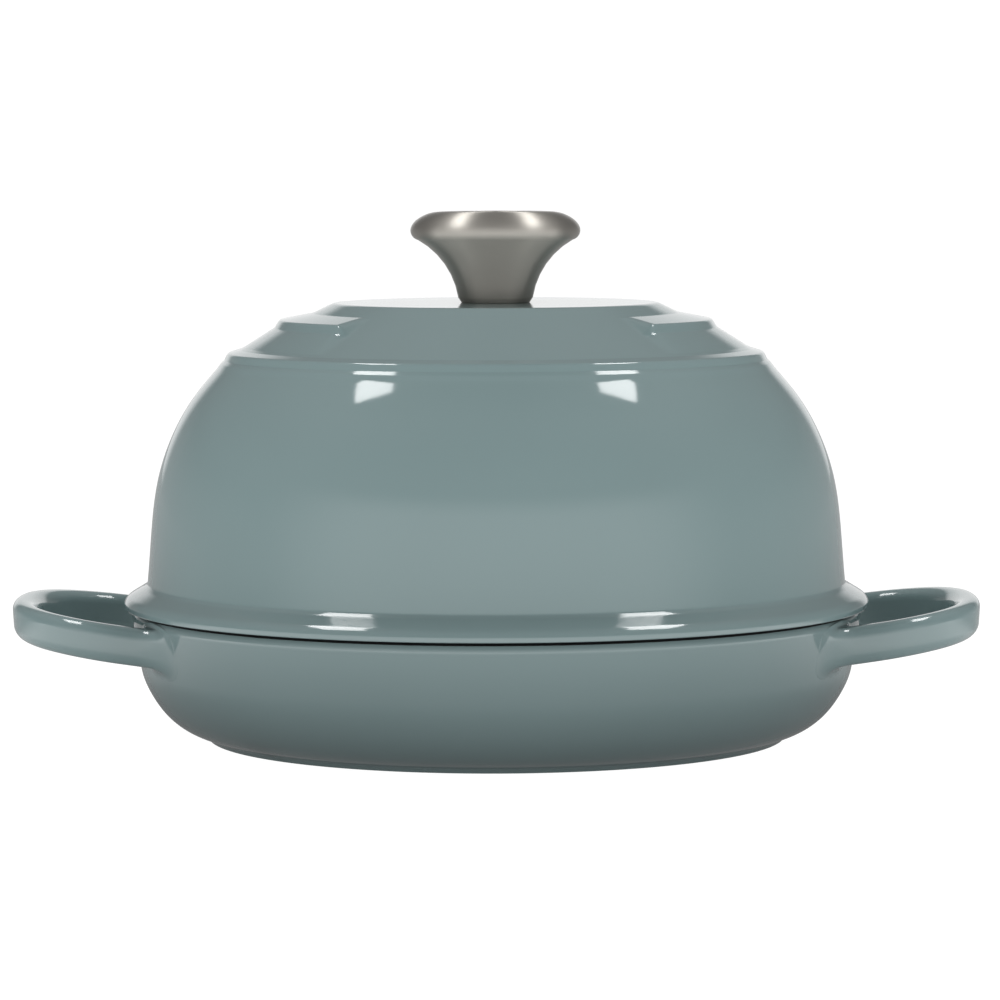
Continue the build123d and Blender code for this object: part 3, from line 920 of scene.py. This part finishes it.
class CLOCHE_OT_stage(bpy.types.Operator):
    """Sets up the pale floor, the soft studio light and the camera"""

    bl_idname = "cloche.stage"
    bl_label = "Stage"

    def execute(self, context):
        scene, studio = context.scene, context.scene.cloche_studio
        scene.view_settings.view_transform = "Standard"
        self.make_world(scene)
        self.make_floor(scene)
        for side in (-1, 1):
            self.make_softbox(scene, side, studio.softbox_power)
        self.make_camera(scene, studio)
        return {"FINISHED"}

    def make_camera(self, scene, studio):
        """The fitted camera, which looks along Y and slightly down and is turned a trace."""
        look_down, yaw_turn, roll_turn = 4.43, -0.048, -0.16
        data = bpy.data.cameras.new("camera")
        data.lens = studio.lens
        data.sensor_width = 36
        data.clip_start = 0.01
        camera = bpy.data.objects.new("camera", data)
        level = Matrix.Rotation(math.radians(90 - look_down), 4, "X")
        yaw = Matrix.Rotation(math.radians(yaw_turn), 4, "Z")
        roll = Matrix.Rotation(math.radians(roll_turn), 4, "Z")
        place = Matrix.Translation((0, -studio.camera_distance, studio.camera_height))
        camera.matrix_world = place @ yaw @ level @ roll
        scene.collection.objects.link(camera)
        scene.camera = camera

    def make_world(self, scene):
        """A studio with a broad light low in front, a pale wall behind, dimmer sides and a dark ceiling."""
        world = bpy.data.worlds.new("studio")
        scene.world = world
        world.use_nodes = True
        tree = world.node_tree
        tree.nodes.clear()
        direction = add_node(tree, "ShaderNodeTexCoord").outputs["Generated"]
        parts = add_node(tree, "ShaderNodeSeparateXYZ", None, {"Vector": direction})
        ramps = []
        for levels in (SIDE_LEVELS, BACK_LEVELS, FRONT_LEVELS):
            ramp = add_node(tree, "ShaderNodeValToRGB", None, {"Fac": parts.outputs["Z"]})
            elements = ramp.color_ramp.elements
            for element, (height, level) in zip(elements, (levels[0], levels[-1])):
                element.position = height
                element.color = (level, level, level, 1)
            for height, level in levels[1:-1]:
                elements.new(height).color = (level, level, level, 1)
            ramps.append(ramp.outputs["Color"])
        # From the sides' level to the back wall's and then to the front light's, by the direction's Y
        walls, back, front = ramps
        for level, start, full in ((back, 0.90, 0.96), (front, -0.05, -0.75)):
            share = add_node(
                tree,
                "ShaderNodeMapRange",
                {"interpolation_type": "SMOOTHSTEP"},
                {"Value": parts.outputs["Y"], "From Min": start, "From Max": full},
            )
            mixed = add_node(
                tree,
                "ShaderNodeMix",
                {"data_type": "RGBA"},
                {"Factor": share.outputs["Result"], "A": walls, "B": level},
            )
            walls = mixed.outputs["Result"]
        # The camera itself sees plain white
        seen = add_node(tree, "ShaderNodeLightPath").outputs["Is Camera Ray"]
        colour = add_node(
            tree,
            "ShaderNodeMix",
            {"data_type": "RGBA"},
            {"Factor": seen, "A": walls, "B": (1, 1, 1, 1)},
        )
        shader = add_node(
            tree,
            "ShaderNodeBackground",
            None,
            {"Color": colour.outputs["Result"], "Strength": 1.35},
        )
        add_node(tree, "ShaderNodeOutputWorld", None, {"Surface": shader.outputs["Background"]})

    def make_floor(self, scene):
        """A plain pale floor; to all but camera rays it glows, with painted shadow close to the cloche and
        painted shade behind it.
        """
        bm = bmesh.new()
        bmesh.ops.create_grid(bm, x_segments=1, y_segments=1, size=30)
        mesh = bpy.data.meshes.new("floor")
        bm.to_mesh(mesh)
        bm.free()
        floor = bpy.data.objects.new("floor", mesh)
        scene.collection.objects.link(floor)
        material, tree = start_material("pale_floor_with_painted_glow")
        place = add_node(tree, "ShaderNodeTexCoord").outputs["Object"]
        # Painted light: to all but camera rays the floor glows, more with the distance from the cloche, so a
        # painted contact shadow lies close round it
        distance = add_node(tree, "ShaderNodeVectorMath", {"operation": "LENGTH"}, {0: place})
        glow = add_node(
            tree,
            "ShaderNodeMapRange",
            {"interpolation_type": "SMOOTHSTEP"},
            {
                "Value": distance.outputs["Value"],
                "From Min": 0.11,
                "From Max": 0.36,
                "To Min": 0.2,
                "To Max": 2.25,
            },
        )
        # Painted shade: behind the cloche the glow is dimmed, so the lid's rear flanks reflect less light
        parts = add_node(tree, "ShaderNodeSeparateXYZ", None, {"Vector": place})
        share = add_node(
            tree,
            "ShaderNodeMapRange",
            {"interpolation_type": "SMOOTHSTEP"},
            {
                "Value": parts.outputs["Y"],
                "From Min": -0.05,
                "From Max": 0.2,
                "To Min": 1.0,
                "To Max": 0.2,
            },
        )
        strength = add_node(
            tree,
            "ShaderNodeMath",
            {"operation": "MULTIPLY"},
            {0: glow.outputs["Result"], 1: share.outputs["Result"]},
        )
        # Painted light: this glow stands in for light thrown back by the floor, and is seen only in
        # reflections and bounces
        painted_bounce_glow = add_node(tree, "ShaderNodeEmission", None, {"Strength": strength.outputs["Value"]})
        # The camera sees an almost white floor, with a trace of shade under the pan
        seen = add_node(tree, "ShaderNodeEmission", None, {"Strength": 1.14})
        paint = add_node(tree, "ShaderNodeBsdfDiffuse", None, {"Color": (0.9, 0.9, 0.9, 1)})
        pale = add_node(
            tree,
            "ShaderNodeMixShader",
            None,
            {0: 0.12, 1: seen.outputs["Emission"], 2: paint.outputs["BSDF"]},
        )
        camera_ray = add_node(tree, "ShaderNodeLightPath").outputs["Is Camera Ray"]
        shader = add_node(
            tree,
            "ShaderNodeMixShader",
            None,
            {0: camera_ray, 1: painted_bounce_glow.outputs["Emission"], 2: pale.outputs["Shader"]},
        )
        add_node(tree, "ShaderNodeOutputMaterial", None, {"Surface": shader.outputs["Shader"]})
        mesh.materials.append(material)

    def make_softbox(self, scene, side, power):
        """One overhead softbox, which draws the bright strips on the lid's edges."""
        length, width = 0.88, 0.28
        place = Vector((side * 0.71, 0.25, 1.63))
        target = Vector((0, 0, 0.1))
        data = bpy.data.lights.new("softbox", "AREA")
        data.shape = "RECTANGLE"
        data.size = length
        data.size_y = width
        data.energy = power
        softbox = bpy.data.objects.new("softbox", data)
        aim = (target - place).to_track_quat("-Z", "Y")
        softbox.matrix_world = Matrix.Translation(place) @ aim.to_matrix().to_4x4()
        scene.collection.objects.link(softbox)


class CLOCHE_PT_panel(bpy.types.Panel):
    """Lists the cloche's pieces"""

    bl_idname = "CLOCHE_PT_panel"
    bl_label = "Bread cloche"
    bl_space_type = "VIEW_3D"
    bl_region_type = "UI"
    bl_category = "Cloche"

    def draw(self, context):
        for operator in OPERATORS:
            self.layout.operator(operator.bl_idname)
        for group in ("cloche_sizes", "cloche_finish", "cloche_studio"):
            values = getattr(context.scene, group)
            for name in values.__annotations__:
                self.layout.prop(values, name)


OPERATORS = (CLOCHE_OT_base_pan, CLOCHE_OT_dome_lid, CLOCHE_OT_knob, CLOCHE_OT_fasteners, CLOCHE_OT_stage)
GROUPS = {"cloche_sizes": ClocheSizes, "cloche_finish": ClocheFinish, "cloche_studio": ClocheStudio}


def register():
    """Registers the property groups, operators and panel."""
    for name, group in GROUPS.items():
        bpy.utils.register_class(group)
        setattr(bpy.types.Scene, name, bpy.props.PointerProperty(type=group))
    for operator in OPERATORS:
        bpy.utils.register_class(operator)
    bpy.utils.register_class(CLOCHE_PT_panel)


def unregister():
    """Unregisters them again."""
    bpy.utils.unregister_class(CLOCHE_PT_panel)
    for operator in reversed(OPERATORS):
        bpy.utils.unregister_class(operator)
    for name, group in GROUPS.items():
        delattr(bpy.types.Scene, name)
        bpy.utils.unregister_class(group)


def main():
    """Builds every piece in order."""
    register()
    bpy.ops.cloche.base_pan()
    bpy.ops.cloche.dome_lid()
    bpy.ops.cloche.knob()
    bpy.ops.cloche.fasteners()
    bpy.ops.cloche.stage()


if __name__ == "__main__":
    main()
